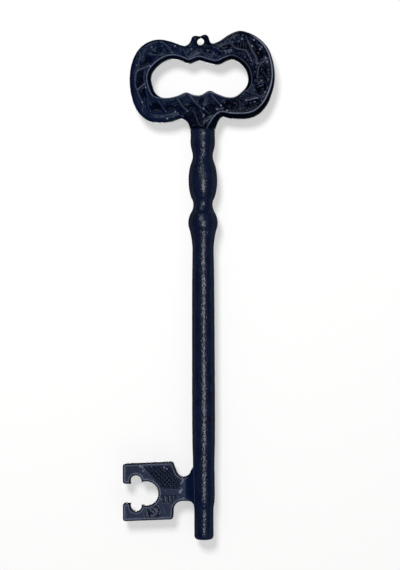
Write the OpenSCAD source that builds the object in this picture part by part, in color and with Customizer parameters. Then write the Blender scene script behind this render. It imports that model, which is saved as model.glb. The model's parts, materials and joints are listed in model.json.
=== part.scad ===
// Large ornamental iron key, made up of a cast bow, a turned neck, a round shank and a flag bit.
// Millimetres. Z runs up the key, the show face looks towards -Y and the bit points towards -X.
// The origin is the centre of the hanging hole in the lug on top of the bow.

/* [Bow] */
// Width of the bow across its two lobes
bow_w = 102; // [94:0.5:110]
// Height of the bow's ring, from its lowest lobe to its highest one
bow_h = 63.8; // [60:0.2:68]
// Thickness of the bow over its rims
bow_t = 9; // [8:0.25:11]
// Mean width of the ring's band at the two sides
band_side = 16.75; // [15:0.25:18]
// Height of the opening over its lobes
opening_h = 27.5; // [25:0.25:29]
// How far the opening lies below the highest lobe
opening_drop = 19.2; // [18:0.2:20.5]
// How far the opening stands off the shank's axis, to the left
opening_shift = 2.1; // [0:0.1:3]
// How far the highest lobe rises above the hanging hole
lobe_rise = 7.2; // [6:0.1:9]
// Depth of the relief's channel below the rims
channel_d = 1.1; // [0.6:0.1:1.4]
// Height of the branch-like ridges above the channel's floor
ridge_h = 0.8; // [0.4:0.1:1]

/* [Hanging lug] */
// Diameter of the hanging hole
hole_d = 5; // [4:0.1:5.5]
// Thickness of the lug
lug_t = 6.4; // [5:0.1:6.6]
// Width of the lug over its sides
lug_w = 12.2; // [11:0.1:14]
// Height of the lug's top above the hanging hole
lug_rise = 4.9; // [4.5:0.1:6]
// How far the lug stands off the shank's axis, to the left
lug_shift = 1.2; // [0:0.1:2]

/* [Stem and tang] */
// Width of the flat stem where it meets the collar
stem_w = 18; // [16.5:0.25:19]
// Length of the stem from the lowest lobe to the collar
stem_len = 4.9; // [4:0.1:8]
// Diameter of the round tang below the stem
tang_d = 8; // [6.5:0.1:9]
// Length of the tang inside the barrel bead
tang_grip = 15; // [13:0.5:16]

/* [Neck] */
// Length of the collar
collar_len = 19.2; // [17:0.2:22]
// Diameter of the collar over its rim
collar_d = 17.4; // [16:0.2:19]
// Length of the barrel bead
barrel_len = 33.6; // [31:0.2:37]
// Largest diameter of the barrel bead
barrel_d = 20.2; // [18.5:0.1:22]
// Length of the ball bead with its taper
ball_len = 31; // [28:0.2:35]
// Largest diameter of the ball bead
ball_d = 20.8; // [19:0.1:23]
// Diameter of the upper waist, between the collar and the barrel bead
upper_waist_d = 14.1; // [13:0.1:15]
// Diameter of the lower waist, between the two beads
lower_waist_d = 13.5; // [13:0.1:15]

/* [Shank] */
// Length of the shank below the ball bead
shank_len = 204; // [180:1:260]
// Diameter of the shank at its shoulder, under the ball bead
shoulder_d = 15; // [14.4:0.1:15.4]
// Diameter of the shank at its middle
shank_d = 16; // [15.4:0.1:17]
// Diameter of the shank at the bit
root_d = 15.2; // [14.6:0.1:16]
// Diameter of the slimmer end below the bit
pilot_d = 13.5; // [12.5:0.1:14]
// Radius of the rounded edge at the tip
tip_round = 2.6; // [1.5:0.1:4]
// Diameter of the spigot on top of the shank
spigot_d = 8; // [6.5:0.1:9]
// Length of the spigot inside the barrel bead
spigot_grip = 14; // [13:0.5:15]

/* [Bit] */
// Reach of the bit from the shank's axis
bit_reach = 57; // [53:0.5:62]
// Height of the bit's flag
bit_h = 40.5; // [39:0.25:43]
// Thickness of the bit over its border
bit_t = 7; // [6:0.25:8]
// Height of the bit's lower edge above the tip
bit_foot = 13.3; // [11:0.1:16]
// Height of the ward notch's centre above the bit's lower edge
notch_z = 18.9; // [17.5:0.1:20]
// Distance of the ward notch's centre from the bit's left edge
notch_x = 16.6; // [15:0.1:18]
// Radius of the ward notch's round end
notch_r = 8.5; // [7.5:0.1:9.2]
// Height of the notch's mouth between the two hooks
mouth_h = 13.4; // [11:0.2:15]
// Radius of the dimple behind each hook
dimple_r = 4; // [3:0.1:4.5]
// Width of the flag, from its left edge to the gap beside the shank
flag_w = 35.3; // [33:0.1:37]
// Slope of the flag's upper and lower edges, as rise over length
flag_slope = 0.045; // [0:0.005:0.06]
// Radius of the flag's corners
corner_r = 1.8; // [1:0.1:2.4]
// Height of the neck between the flag and the shank
neck_h = 17; // [15:0.2:18]
// Height of the neck's middle above the bit's lower edge
neck_z = 22.3; // [21:0.1:23]
// Radius of the gap above the neck
high_gap_r = 5.2; // [4.5:0.1:5.6]
// Radius of the lower gap's corner at the arm
arm_gap_r = 6.8; // [5:0.1:7]
// Radius of the lower gap's corner at the shank
heel_r = 4.5; // [3.5:0.1:5]
// Width of the plain border round the panels
border = 1.7; // [1.2:0.1:2.4]
// Width of the plain corner left of the cross-hatched panel
plain_w = 13.7; // [12:0.1:15]
// Height of the smooth bar across the neck
bar_h = 4.1; // [3:0.1:5]
// Height of the upright ribs below the bar
rib_h = 6.4; // [4:0.2:8]
// Distance between the cross-hatching's grooves
hatch_pitch = 2.4; // [2:0.1:4]
// Width of each groove
hatch_w = 0.7; // [0.4:0.1:1]
// Depth of each groove
hatch_d = 0.6; // [0.3:0.1:0.8]
// Radius of the saddle that blends the bit's faces into the shank
saddle_r = 13; // [9:0.5:16]

/* [Joints] */
// Thickness of the bit's tenon
tenon_t = 4; // [3:0.1:5]
// Height of the tenon
tenon_h = 14; // [12:0.2:14.6]
// How far the tenon reaches past the shank's axis
tenon_past = 4; // [3:0.1:4.5]
// Diameter of the cross pins and rivets
pin_d = 3; // [2:0.1:3.4]
// Distance between the two rivets of the bit
rivet_gap = 7; // [6:0.2:8]
// How far the pins end below the surface, under the enamel
pin_sunk = 0.3; // [0.2:0.05:0.5]
// Clearance between pieces that fit into each other
fit_gap = 0.1; // [0.05:0.01:0.15]

/* [Hidden] */
$fn = 64;

enamel = [0.07, 0.08, 0.12];

// Heights along the key, from the hanging hole down
ring_low = lobe_rise - bow_h;
seam_z = ring_low - stem_len;
collar_end = seam_z - collar_len;
barrel_end = collar_end - barrel_len;
shoulder_z = barrel_end - ball_len;
tip_z = shoulder_z - shank_len;
bit_low = tip_z + bit_foot;
bit_high = bit_low + bit_h;
notch_mid = bit_low + notch_z;
neck_mid = bit_low + neck_z;
neck_high = neck_mid + neck_h / 2;
neck_low = neck_mid - neck_h / 2;
tang_end = collar_end - tang_grip;
spigot_end = barrel_end + spigot_grip;

// Shape of a smooth curve through points, with the bend spread by the distance between them
function knot(t, a, b) = t + sqrt(norm(b - a));
function mix_at(a, b, ta, tb, t) = (a * (tb - t) + b * (t - ta)) / (tb - ta);
function span_at(p0, p1, p2, p3, f) =
    let (
        t1 = knot(0, p0, p1),
        t2 = knot(t1, p1, p2),
        t3 = knot(t2, p2, p3),
        t = t1 + f * (t2 - t1),
        a = mix_at(p0, p1, 0, t1, t),
        b = mix_at(p1, p2, t1, t2, t),
        c = mix_at(p2, p3, t2, t3, t)
    )
    mix_at(mix_at(a, b, 0, t2, t), mix_at(b, c, t1, t3, t), t1, t2, t);

// A closed smooth curve, and one that starts and ends at its first and last points
function closed_curve(p, steps) =
    let (n = len(p))
    [for (i = [0:n - 1], s = [0:steps - 1])
        span_at(p[(i + n - 1) % n], p[i], p[(i + 1) % n], p[(i + 2) % n], s / steps)];
function open_curve(p, steps) =
    let (
        last = len(p) - 1,
        before = 2 * p[0] - p[1],
        after = 2 * p[last] - p[last - 1]
    )
    concat(
        [for (i = [0:last - 1], s = [0:steps - 1])
            span_at(i == 0 ? before : p[i - 1], p[i], p[i + 1], i + 2 > last ? after : p[i + 2], s / steps)],
        [p[last]]
    );

function clamp(v, low, high) = min(max(v, low), high);
function blend(a, b, t) = a + (b - a) * t;

// The ring as pairs of points that face each other across its band.
// The first lies on the outline, in half widths from the axis and shares of the height from the lowest lobe.
// The second lies on the opening's edge, in half widths from its middle and shares of its height.
ring_pairs = [
    [[-0.445, 0.008], [-0.45, 0.065]], [[-0.61, 0], [-0.66, 0.01]], [[-0.735, 0.018], [-0.77, 0.025]],
    [[-0.849, 0.082], [-0.855, 0.075]], [[-0.933, 0.18], [-0.92, 0.164]], [[-0.986, 0.312], [-0.963, 0.29]],
    [[-1.005, 0.465], [-1, 0.47]], [[-0.99, 0.608], [-0.985, 0.625]], [[-0.935, 0.74], [-0.917, 0.756]],
    [[-0.843, 0.84], [-0.82, 0.873]], [[-0.724, 0.897], [-0.71, 0.955]], [[-0.59, 0.917], [-0.6, 0.998]],
    [[-0.437, 0.893], [-0.479, 0.996]], [[-0.27, 0.846], [-0.333, 0.935]], [[-0.176, 0.836], [-0.216, 0.88]],
    [[-0.04, 0.832], [-0.012, 0.955]], [[0.078, 0.842], [0.164, 0.895]], [[0.169, 0.866], [0.315, 0.848]],
    [[0.25, 0.896], [0.426, 0.865]], [[0.367, 0.957], [0.534, 0.931]], [[0.504, 1], [0.66, 0.975]],
    [[0.622, 0.984], [0.765, 0.93]], [[0.743, 0.937], [0.858, 0.847]], [[0.847, 0.869], [0.926, 0.755]],
    [[0.922, 0.784], [0.968, 0.658]], [[0.973, 0.663], [0.994, 0.545]], [[0.996, 0.51], [1, 0.436]],
    [[0.98, 0.39], [0.98, 0.325]], [[0.935, 0.27], [0.93, 0.225]], [[0.86, 0.157], [0.858, 0.134]],
    [[0.76, 0.08], [0.771, 0.052]], [[0.645, 0.042], [0.685, 0.01]], [[0.506, 0.034], [0.587, 0.01]],
    [[0.361, 0.042], [0.464, 0.055]],
];

// The hollow curves from the stem's two corners up to the ring, as distances out and up,
// with the facing points on the opening's edge
stem_left_pairs = [
    [[0, 0], [-0.055, 0.068]], [[0.8, 2.4], [-0.12, 0.085]], [[2.4, 4.7], [-0.19, 0.125]],
    [[6.2, 6.5], [-0.275, 0.145]],
];
stem_right_pairs = [
    [[4.6, 7.5], [0.324, 0.131]], [[2.6, 5.8], [0.263, 0.172]], [[1.5, 3.8], [0.207, 0.183]],
    [[0.7, 1.7], [0.158, 0.164]], [[0, 0], [0.114, 0.13]],
];
// A rounded foot below the seam, which the flat end of the stem cuts off
stem_foot_pairs = [
    [[0.36, -0.42], [0.08, 0.105]], [[0, -0.58], [0.032, 0.08]], [[-0.36, -0.42], [-0.012, 0.066]],
];

opening_w = bow_w - 2 * band_side;
opening_high = lobe_rise - opening_drop;
stem_corner = stem_w / 2;
corner_z = seam_z + 1;
function ring_point(p) = [p[0] * bow_w / 2, ring_low + p[1] * bow_h];
function opening_point(p) =
    [p[0] * opening_w / 2 - opening_shift, opening_high + (p[1] - 1) * opening_h];
outer_points = concat(
    [for (p = stem_foot_pairs) [p[0][0] * stem_w, seam_z + p[0][1] * stem_w]],
    [for (p = stem_left_pairs) [-stem_corner - p[0][0], corner_z + p[0][1]]],
    [for (p = ring_pairs) ring_point(p[0])],
    [for (p = stem_right_pairs) [stem_corner + p[0][0], corner_z + p[0][1]]]
);
opening_points = [for (p = concat(stem_foot_pairs, stem_left_pairs, ring_pairs, stem_right_pairs))
    opening_point(p[1])];
rail_steps = 3;
outer_rail = closed_curve(outer_points, rail_steps);
inner_rail = closed_curve(opening_points, rail_steps);
stations = len(outer_rail);
opening_mid = [-opening_shift, opening_high - opening_h / 2];

// A point of a closed path moved square to the path, to the right of its direction
function set_in(path, i, d) =
    let (
        n = len(path),
        way = path[(i + 2) % n] - path[(i + n - 2) % n]
    )
    path[i] + [way[1], -way[0]] * d / norm(way);

// Cross section of the band, as distances in from each edge with heights below the rims' tops
outer_section = [[0, bow_t / 2], [0.5, 1.6], [2.2, 0], [3.6, channel_d * 0.8]];
inner_section = [[3.2, channel_d * 0.8], [1.9, 0.1], [0.4, 1.8], [0, bow_t / 2]];
floor_shares = [0.3, 0.7];

// Ridges across the channel: the angle about the opening's middle at the inner and at the outer rim
ridges = [
    [-51, -51], [-27, -36], [-15, -16], [-2, 0], [15, 36], [16, 17], [40, 54], [66, 60], [92, 100],
    [117, 120], [136, 137], [153, 156], [166, 172], [184, 190], [206, 203], [208, 224], [222, 244],
    [241, 272], [262, 281],
];
ridge_half = 2.6;
function turn_between(a, b) = abs(((a - b + 540) % 360) - 180);
function ridge_at(angle, share) =
    ridge_h * max([for (r = ridges)
        exp(-pow(turn_between(angle, blend(r[1], r[0], share)) / ridge_half, 2))]);

// How much wider the rims' slopes grow down the stem, where it turns into the round collar
stem_draw = 0.45;
stem_top = ring_low + 2;
function stem_share(z) = clamp((stem_top - z) / (stem_top - seam_z), 0, 1);

function section_at(i) =
    let (
        p = outer_rail[i],
        wide = 1 + stem_draw * stem_share(p[1]),
        angle = atan2(p[1] - opening_mid[1], p[0] - opening_mid[0]),
        outer = [for (s = outer_section)
            let (at = set_in(outer_rail, i, s[0] * wide))
            [at[0], bow_t / 2 - s[1], at[1]]],
        inner = [for (s = inner_section)
            let (at = set_in(inner_rail, i, -s[0]))
            [at[0], bow_t / 2 - s[1], at[1]]],
        edge = outer[len(outer) - 1],
        lip = inner[0],
        middle = [for (t = floor_shares)
            let (at = blend(edge, lip, t))
            [at[0], bow_t / 2 - channel_d + ridge_at(angle, t), at[2]]]
    )
    concat(outer, middle, inner);

// The band as one closed skin: each station's section on the show face, then mirrored on the back
module ring_skin() {
    front = [for (i = [0:stations - 1]) section_at(i)];
    rows = len(front[0]);
    loop = 2 * rows - 2;
    points = [for (s = front)
        each concat(
            [for (p = s) [p[0], -p[1], p[2]]],
            [for (k = [rows - 2:-1:1]) s[k]]
        )];
    faces = [for (i = [0:stations - 1], k = [0:loop - 1])
        let (
            here = i * loop,
            next = ((i + 1) % stations) * loop,
            k2 = (k + 1) % loop
        )
        [here + k, next + k, next + k2, here + k2]];
    polyhedron(points = points, faces = faces, convexity = 6);
}

// The lug's outline in half widths from the hole, and heights in shares of its top above the hole
lug_outline = [
    [-1.75, -0.55], [-1.45, -0.36], [-1.2, 0.05], [-1.07, 0.4], [-0.97, 0.7], [-0.66, 0.88], [-0.33, 0.84],
    [0, 0.8], [0.33, 0.97], [0.62, 1], [0.9, 0.72], [1.02, 0.25], [1.2, -0.2], [1.6, -0.3],
];
lug_base = [[1.6, -1.2], [-1.75, -1.2]];
function lug_point(p) = [p[0] * lug_w / 2, p[1] * lug_rise];

module flat_from(thickness) {
    rotate([90, 0, 0])
        linear_extrude(height = thickness, center = true)
            children();
}

module cross_hole(r, length) {
    rotate([90, 0, 0])
        cylinder(r = r, h = length, center = true);
}

module side_hole(r, length) {
    rotate([0, 90, 0])
        cylinder(r = r, h = length, center = true);
}

module tang() {
    root = 5;
    chamfer = 0.8;
    rotate_extrude()
        polygon([
            [0, seam_z + root],
            [tang_d / 2 - 1, seam_z + root],
            [tang_d / 2 - 1, seam_z],
            [tang_d / 2, seam_z],
            [tang_d / 2, tang_end + chamfer],
            [tang_d / 2 - chamfer, tang_end],
            [0, tang_end],
        ]);
}

module bow() {
    below = 40;
    color(enamel)
        difference() {
            union() {
                difference() {
                    ring_skin();
                    translate([-stem_w, -bow_t, seam_z - below])
                        cube([2 * stem_w, 2 * bow_t, below]);
                }
                translate([-lug_shift, 0, 0])
                    flat_from(lug_t)
                        polygon(concat(
                            open_curve([for (p = lug_outline) lug_point(p)], 3),
                            [for (p = lug_base) lug_point(p)]
                        ));
                tang();
            }
            translate([-lug_shift, 0, 0])
                cross_hole(hole_d / 2, 2 * bow_t);
            translate([0, 0, bow_pin_z])
                side_hole(pin_r + fit_gap, 2 * tang_d);
        }
}

// Half profile of each turned piece, as radii with depths below its top
function turned(points, top) = [for (p = points) [p[0], top - p[1]]];
collar_r = collar_d / 2;
collar_profile = [
    [stem_w / 2 - 0.1, 0], [collar_r - 0.25, 1.6], [collar_r - 0.3, 3.2], [collar_r - 0.15, 6.5],
    [collar_r - 0.05, 9], [collar_r - 0.25, 11.6], [blend(upper_waist_d / 2, collar_r, 0.45), 14.4],
    [upper_waist_d / 2 + 0.1, 17], [upper_waist_d / 2, collar_len],
];
barrel_r = barrel_d / 2;
upper_r = upper_waist_d / 2;
lower_r = lower_waist_d / 2;
// Shares of the barrel's length from its top, with how far it bulges from its waist to its full radius
barrel_bulges = [
    [0, 0], [0.04, 0.06], [0.13, 0.38], [0.21, 0.66], [0.3, 0.85], [0.4, 0.965], [0.5, 1], [0.59, 0.97],
    [0.68, 0.86], [0.77, 0.68], [0.85, 0.44], [0.91, 0.16], [0.96, 0.02], [1, 0],
];
function barrel_at(share) =
    blend(share > 0.5 ? lower_r : upper_r, barrel_r, lookup(share, barrel_bulges));
barrel_profile = [for (b = barrel_bulges) [barrel_at(b[0]), b[0] * barrel_len]];
function barrel_radius(z) = barrel_at((collar_end - z) / barrel_len);
ball_r = ball_d / 2;
shoulder_r = shoulder_d / 2;
function ball_at(share, bulge, foot) = [blend(foot, ball_r, bulge), share * ball_len];
ball_profile = [
    ball_at(0, 0, lower_r), ball_at(0.05, 0.02, lower_r), ball_at(0.13, 0.23, lower_r),
    ball_at(0.21, 0.6, lower_r), ball_at(0.3, 0.86, lower_r), ball_at(0.4, 1, lower_r),
    ball_at(0.5, 0.91, shoulder_r), ball_at(0.59, 0.6, shoulder_r), ball_at(0.68, 0.4, shoulder_r),
    ball_at(0.78, 0.22, shoulder_r), ball_at(0.88, 0.1, shoulder_r), ball_at(1, 0, shoulder_r),
];

module bead(profile, top, length, bore_r) {
    difference() {
        rotate_extrude()
            polygon(concat(
                [[0, top - length], [0, top]],
                turned(open_curve(profile, 3), top)
            ));
        translate([0, 0, top - length - 1])
            cylinder(r = bore_r, h = length + 2);
    }
}

module collar() {
    color(enamel)
        bead(collar_profile, seam_z, collar_len, tang_d / 2 + fit_gap);
}

bow_pin_z = collar_end - tang_grip * 0.55;
shank_pin_z = barrel_end + spigot_grip * 0.6;
pin_r = pin_d / 2;
// Half length of a pin that ends under a round surface of this radius
function pin_half(r) = sqrt(r * r - pin_r * pin_r) - pin_sunk;
function bead_pin_half(z) = pin_half(min(barrel_radius(z + pin_r), barrel_radius(z - pin_r)));

module barrel_bead() {
    color(enamel)
        difference() {
            rotate_extrude()
                polygon(concat(
                    [[0, barrel_end], [0, collar_end]],
                    turned(open_curve(barrel_profile, 3), collar_end)
                ));
            translate([0, 0, tang_end - 0.5])
                cylinder(r = tang_d / 2 + fit_gap, h = tang_grip + 1);
            translate([0, 0, barrel_end - 0.5])
                cylinder(r = spigot_d / 2 + fit_gap, h = spigot_grip + 1);
            translate([0, 0, bow_pin_z])
                side_hole(pin_r + fit_gap, 2 * barrel_d);
            translate([0, 0, shank_pin_z])
                side_hole(pin_r + fit_gap, 2 * barrel_d);
        }
}

module ball_bead() {
    color(enamel)
        bead(ball_profile, barrel_end, ball_len, spigot_d / 2 + fit_gap);
}

// Radii down the shank, from its shoulder to the start of the slimmer end
root_top = bit_high;
pilot_top = neck_low - heel_r;
shank_points = [
    [shoulder_d / 2, shoulder_z],
    [shank_d / 2 - 0.2, shoulder_z - shank_len * 0.12],
    [shank_d / 2, blend(shoulder_z, root_top, 0.45)],
    [shank_d / 2, blend(shoulder_z, root_top, 0.85)],
    [root_d / 2, root_top],
    [root_d / 2, pilot_top + 3.5],
    [pilot_d / 2, pilot_top],
    [pilot_d / 2, tip_z + tip_round],
];
tip_arc = [for (a = [15:15:90]) [pilot_d / 2 - tip_round * (1 - cos(a)), tip_z + tip_round * (1 - sin(a))]];

module shank() {
    chamfer = 0.8;
    color(enamel)
        difference() {
            union() {
                rotate_extrude()
                    polygon(concat([[0, tip_z], [0, shoulder_z]], shank_points, tip_arc));
                translate([0, 0, shoulder_z - 1])
                    cylinder(r = spigot_d / 2, h = spigot_end - chamfer - shoulder_z + 1);
                translate([0, 0, spigot_end - chamfer])
                    cylinder(r1 = spigot_d / 2, r2 = spigot_d / 2 - chamfer, h = chamfer);
            }
            translate([-shank_d, -tenon_t / 2 - fit_gap, neck_mid - tenon_h / 2 - fit_gap])
                cube([shank_d + tenon_past + fit_gap, tenon_t + 2 * fit_gap, tenon_h + 2 * fit_gap]);
            translate([0, 0, shank_pin_z])
                side_hole(pin_r + fit_gap, 2 * spigot_d);
            for (side = [-1, 1])
                translate([0, 0, neck_mid + side * rivet_gap / 2])
                    cross_hole(pin_r + fit_gap, 2 * shank_d);
        }
}

module bow_pin() {
    color(enamel)
        translate([0, 0, bow_pin_z])
            side_hole(pin_r, 2 * bead_pin_half(bow_pin_z));
}

module shank_pin() {
    color(enamel)
        translate([0, 0, shank_pin_z])
            side_hole(pin_r, 2 * bead_pin_half(shank_pin_z));
}

module bit_rivets() {
    color(enamel)
        for (side = [-1, 1])
            translate([0, 0, neck_mid + side * rivet_gap / 2])
                cross_hole(pin_r, 2 * pin_half(root_d / 2));
}

// The bit's flag, drawn as seen from the front: distances from the shank's axis, and heights
root_r = root_d / 2;
flag_left = -bit_reach;
flag_right = flag_w - bit_reach;
flag_centre = (flag_left + flag_right) / 2;
notch_centre = [flag_left + notch_x, notch_mid];
dimple_x = flag_left + 9.3;
dimple_rise = notch_r + 0.1;
high_gap_centre = [-root_r - 1.4 - high_gap_r, neck_high + high_gap_r];
arm_gap_centre = [flag_right + arm_gap_r + 0.3, neck_low - arm_gap_r];
heel_centre = [-root_r - 3.3, neck_low - heel_r];
function flag_rise(x) = flag_slope * (x - flag_centre);
function flag_high(x) = bit_high + flag_rise(x);
function flag_low(x) = bit_low + flag_rise(x);

// The angle at which a line from a point touches a circle, on the circle's left side
function touch_angle(p, centre, r) =
    let (way = p - centre)
    atan2(way[1], way[0]) + acos(r / norm(way));

function arc(centre, r, from, to) =
    let (steps = ceil(abs(to - from) / 12))
    [for (i = [0:steps])
        let (turn = blend(from, to, i / steps))
        centre + r * [cos(turn), sin(turn)]];

// A corner rounded by an arc: its point, with the neighbours before and after it
function rounded(before, p, after, r) =
    let (
        a = (before - p) / norm(before - p),
        b = (after - p) / norm(after - p),
        half = acos(a * b) / 2,
        centre = p + (a + b) / norm(a + b) * r / sin(half),
        start = p + a * r / tan(half) - centre,
        end = p + b * r / tan(half) - centre,
        steps = 5
    )
    [for (i = [0:steps])
        let (at = blend(start, end, i / steps))
        centre + at / norm(at) * r];

module disc_at(centre, r) {
    translate(centre)
        circle(r = r);
}

module bit_outline() {
    top_left = [flag_left, flag_high(flag_left)];
    top_right = [flag_right, flag_high(flag_right)];
    gap_from = touch_angle(top_right, high_gap_centre, high_gap_r);
    gap_arc = arc(high_gap_centre, high_gap_r, gap_from, 346);
    root_x = -root_r * 0.7;
    flare = [3.2, 5.6];
    low_right = [flag_right, flag_low(flag_right)];
    low_left = [flag_left, flag_low(flag_left)];
    hook_low = [flag_left, notch_mid - mouth_h / 2];
    hook_high = [flag_left, notch_mid + mouth_h / 2];
    mouth_low = [notch_centre[0], hook_low[1]];
    mouth_high = [notch_centre[0], hook_high[1]];
    difference() {
        polygon(concat(
            rounded(hook_high, top_left, top_right, corner_r),
            rounded(top_left, top_right, gap_arc[0], corner_r),
            gap_arc,
            [gap_arc[len(gap_arc) - 1] + flare, [root_x, neck_low - heel_r]],
            arc(heel_centre, heel_r, 0, 90),
            arc(arm_gap_centre, arm_gap_r, 90, 180),
            rounded([flag_right, neck_low], low_right, low_left, corner_r),
            rounded(low_right, low_left, hook_low, corner_r),
            rounded(low_left, hook_low, mouth_low, corner_r),
            [mouth_low, mouth_high],
            rounded(mouth_high, hook_high, top_left, corner_r)
        ));
        disc_at(notch_centre, notch_r);
        for (side = [-1, 1])
            disc_at([dimple_x, notch_mid + side * dimple_rise], dimple_r);
    }
}

// The field inside the border, without the round cut-outs and their borders
module field(left, right, low) {
    difference() {
        polygon([
            [left, low],
            [left, flag_high(left) - border],
            [flag_right - border, flag_high(flag_right) - border],
            [right, neck_high - border],
            [right, low],
        ]);
        disc_at(notch_centre, notch_r + border);
        disc_at([dimple_x, notch_mid + dimple_rise], dimple_r + border);
        disc_at(high_gap_centre, high_gap_r + border);
    }
}

bar_high = notch_mid + 2.6;
bar_low = bar_high - bar_h;

// Two sets of grooves that cross at right angles, kept inside the field
module hatching() {
    left = flag_left + plain_w;
    right = high_gap_centre[0] + border;
    reach = bit_h * 1.5;
    count = floor(reach / hatch_pitch / 2);
    intersection() {
        field(left, right, bar_high);
        for (turn = [-45, 45])
            translate([(left + right) / 2, neck_high])
                rotate(turn)
                    for (i = [-count:count])
                        translate([i * hatch_pitch - hatch_w / 2, -reach / 2])
                            square([hatch_w, reach]);
    }
}

// Upright grooves between the ribs under the bar
module rib_grooves() {
    count = 4;
    first = notch_centre[0] + notch_r + border;
    for (i = [0:count - 1])
        translate([first + i * (hatch_pitch + hatch_w), bar_low - rib_h * (1 - 0.1 * i)])
            square([hatch_w * 1.6, rib_h * (1 - 0.1 * i)]);
}

// Section of the bit as seen from above: the plate, and a saddle of hollow curves up to the shank
module bit_section() {
    // The curves start this far under the plate's faces, so that they leave them at an angle
    start_depth = 0.06;
    across = bit_t / 2 + saddle_r - start_depth;
    along = sqrt(pow(root_r + saddle_r, 2) - across * across);
    thin_edge = root_r * 0.8;
    difference() {
        union() {
            translate([-2 * bit_reach, -bit_t / 2])
                square([2 * bit_reach - thin_edge, bit_t]);
            difference() {
                translate([-along, -across])
                    square([along - thin_edge, 2 * across]);
                for (side = [-1, 1])
                    disc_at([-along, side * across], saddle_r);
            }
        }
        circle(r = root_r + fit_gap);
    }
}

module bit() {
    tenon_root = 2;
    color(enamel)
        difference() {
            union() {
                difference() {
                    intersection() {
                        flat_from(2 * root_d)
                            bit_outline();
                        translate([0, 0, bit_low - bit_h])
                            linear_extrude(height = 3 * bit_h)
                                bit_section();
                    }
                    for (side = [-1, 1])
                        translate([0, side * (bit_t / 2), 0])
                            flat_from(2 * hatch_d) {
                                hatching();
                                rib_grooves();
                            }
                }
                translate([-root_r - tenon_root, -tenon_t / 2, neck_mid - tenon_h / 2])
                    cube([root_r + tenon_root + tenon_past, tenon_t, tenon_h]);
            }
            for (side = [-1, 1])
                translate([0, 0, neck_mid + side * rivet_gap / 2])
                    cross_hole(pin_r + fit_gap, 2 * root_d);
        }
}

module place() {
    translate([lug_shift, 0, 0])
        children();
}

place() bow();
place() collar();
place() barrel_bead();
place() ball_bead();
place() shank();
place() bit();
place() bow_pin();
place() shank_pin();
place() bit_rivets();
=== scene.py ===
import json
import math

import bpy
import numpy as np
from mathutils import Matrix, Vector, noise
from mathutils.geometry import delaunay_2d_cdt

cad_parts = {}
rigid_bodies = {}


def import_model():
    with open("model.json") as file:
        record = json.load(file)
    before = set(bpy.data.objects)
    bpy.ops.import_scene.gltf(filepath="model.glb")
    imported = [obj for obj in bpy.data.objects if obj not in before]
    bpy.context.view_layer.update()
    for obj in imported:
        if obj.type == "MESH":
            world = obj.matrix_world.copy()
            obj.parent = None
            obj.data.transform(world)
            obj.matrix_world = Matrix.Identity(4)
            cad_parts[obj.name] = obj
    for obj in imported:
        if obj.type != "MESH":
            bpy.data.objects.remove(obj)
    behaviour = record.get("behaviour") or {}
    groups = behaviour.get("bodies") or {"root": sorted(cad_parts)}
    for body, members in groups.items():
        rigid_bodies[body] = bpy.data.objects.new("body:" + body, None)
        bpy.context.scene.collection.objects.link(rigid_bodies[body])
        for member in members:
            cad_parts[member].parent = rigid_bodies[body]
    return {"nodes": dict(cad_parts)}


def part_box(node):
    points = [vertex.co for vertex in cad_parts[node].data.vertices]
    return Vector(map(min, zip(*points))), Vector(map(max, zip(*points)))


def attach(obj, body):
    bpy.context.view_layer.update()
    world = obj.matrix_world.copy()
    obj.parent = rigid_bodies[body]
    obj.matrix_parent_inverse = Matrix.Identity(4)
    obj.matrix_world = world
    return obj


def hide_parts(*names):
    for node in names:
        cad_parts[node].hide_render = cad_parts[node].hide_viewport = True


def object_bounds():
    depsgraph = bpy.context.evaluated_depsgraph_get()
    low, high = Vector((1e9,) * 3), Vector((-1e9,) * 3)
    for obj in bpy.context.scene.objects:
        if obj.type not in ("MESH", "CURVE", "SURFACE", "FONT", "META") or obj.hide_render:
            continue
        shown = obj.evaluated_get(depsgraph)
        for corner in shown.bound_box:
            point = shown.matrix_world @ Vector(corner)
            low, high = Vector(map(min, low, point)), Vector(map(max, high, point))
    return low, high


bl_info = {
    "name": "Ornamental Iron Key",
    "version": (1, 0, 0),
    "blender": (4, 5, 0),
    "location": "View3D > Sidebar > Iron Key",
    "description": "Dresses the packed iron key with its cast relief, its enamel and a plain studio",
    "category": "Object",
}

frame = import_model()
CAD_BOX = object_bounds()
BODY = "root"
MM = 0.001

# Heights of the joints, the tip and the bit's low edge, and the shank's place across, in millimetres from
# the hanging hole
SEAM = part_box("collar")[1].z / MM
COLLAR_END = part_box("collar")[0].z / MM
BARREL_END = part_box("barrel_bead")[0].z / MM
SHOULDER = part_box("ball_bead")[0].z / MM
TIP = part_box("shank")[0].z / MM
AXIS = (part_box("ball_bead")[0].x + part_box("ball_bead")[1].x) / 2 / MM
BIT_LOW_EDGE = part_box("bit")[0].z / MM

# The bow's outline and its opening in the key's own plane: across and up, from the hanging hole
RING_OUTLINE = [
    (7.7, -69.1), (1.2, -71.9), (-5.3, -69.1), (-7.8, -60.5), (-8.6, -58.1), (-10.2, -55.8),
    (-14, -54), (-21.5, -56.1), (-29.9, -56.6), (-36.3, -55.5), (-42.1, -51.4), (-46.4, -45.1),
    (-49.1, -36.7), (-50.1, -26.9), (-49.3, -17.8), (-46.5, -9.4), (-41.8, -3), (-35.7, 0.6),
    (-28.9, 1.9), (-21.1, 0.4), (-12.6, -2.6), (-7.8, -3.3), (-0.8, -3.5), (5.2, -2.9), (9.8, -1.3),
    (13.9, 0.6), (19.9, 4.5), (26.9, 7.2), (32.9, 6.2), (39.1, 3.2), (44.4, -1.2), (48.2, -6.6),
    (50.8, -14.3), (52, -24.1), (51.2, -31.7), (48.9, -39.4), (45.1, -46.6), (40, -51.5),
    (34.1, -53.9), (27, -54.4), (19.6, -53.9), (14.8, -53), (12.8, -54.7), (11.7, -56.7),
    (10.9, -58.8), (10.2, -60.5),
]
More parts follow.
